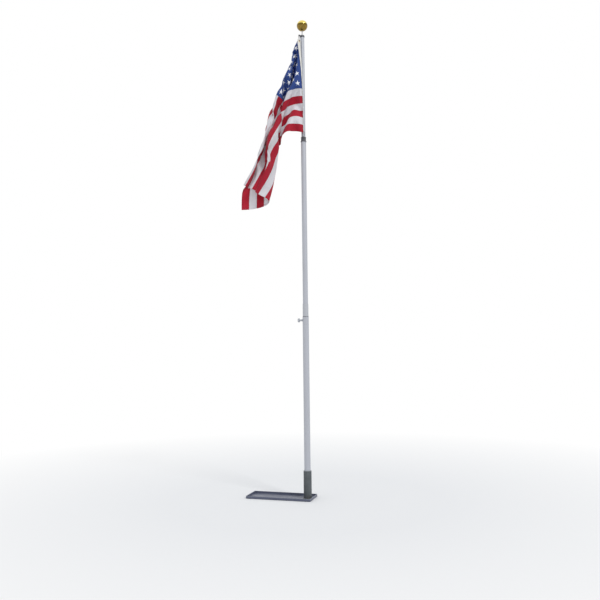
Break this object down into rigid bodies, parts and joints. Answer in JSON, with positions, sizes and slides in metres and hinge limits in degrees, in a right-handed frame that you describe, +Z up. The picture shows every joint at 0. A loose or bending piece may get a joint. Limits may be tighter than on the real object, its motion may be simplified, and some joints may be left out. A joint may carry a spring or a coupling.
{
  "type": "telescoping flagpole with drive-on wheel stand",
  "caption": "Telescoping aluminium flagpole in a steel wheel-stand tray, with a gold ball finial and a hanging national flag on swivel rings.",
  "frame": {"origin": "on the underside of the tray, on the axis of the pole", "axes": "+Z up along the pole, +X along the tray to its open end, -X to the stretch that a wheel stands on"},
  "size_m": [0.6158, 0.2974, 4.4617],
  "materials": {
    "tray_paint": "semi-gloss blue-grey paint with scuffs",
    "sleeve_paint": "satin grey paint on rough pipe",
    "satin_aluminium": "satin drawn tube",
    "collar_aluminium": "brushed",
    "bright_steel": "bright zinc",
    "snap_steel": "dark weathered metal",
    "gold_finish": "polished gold anodised",
    "grommet_brass": "dull brass",
    "black_plastic": "moulded",
    "grey_plastic": "moulded dark grey",
    "dark_rubber": "matt",
    "heading_canvas": "woven canvas band",
    "flag_nylon": "woven nylon with stripes and a blue canton of stars"
  },
  "bodies": {
    "root": {"base_tray": "tray_paint", "sleeve": "sleeve_paint", "weld_bead": "sleeve_paint", "foot_plug": "black_plastic", "bottom_section": "satin_aluminium", "seam_ring": "dark_rubber", "lower_collar": "collar_aluminium", "lock_boss": "collar_aluminium", "lock_screw": "bright_steel", "lock_knob": "collar_aluminium"},
    "middle": {"middle_section": "satin_aluminium", "middle_foot_guide": "black_plastic", "upper_collar": "collar_aluminium"},
    "top": {"top_section": "satin_aluminium", "top_foot_guide": "black_plastic", "top_cap": "collar_aluminium", "spindle": "bright_steel", "retaining_washer": "bright_steel", "spindle_nut": "bright_steel", "finial_ball": "gold_finish"},
    "lower_swivel": {"neck_ring": "grey_plastic", "lower_snap": "snap_steel", "lower_snap_gate": "snap_steel", "lower_grommet": "grommet_brass"},
    "upper_swivel": {"head_ring": "grey_plastic", "upper_snap": "snap_steel", "upper_snap_gate": "snap_steel", "upper_grommet": "grommet_brass", "flag_heading": "heading_canvas", "flag": "flag_nylon"}
  },
  "joints": [
    {"name": "middle_slide", "type": "slide", "parent": "root", "child": "middle", "axis": [0, 0, 1], "range_m": [-1.38, 0]},
    {"name": "top_slide", "type": "slide", "parent": "middle", "child": "top", "axis": [0, 0, 1], "range_m": [-0.78, 0]},
    {"name": "flag_swivel", "type": "hinge", "parent": "middle", "child": "lower_swivel", "pos_m": [0, 0, 3.29], "axis": [0, 0, 1], "continuous": true},
    {"name": "head_ring_slide", "type": "slide", "parent": "lower_swivel", "child": "upper_swivel", "axis": [0, 0, 1], "range_m": [-0.78, 0], "deforming": ["flag", "flag_heading"]}
  ],
  "couplings": [
    {"joint": "head_ring_slide", "follows": "top_slide", "ratio": 1}
  ]
}
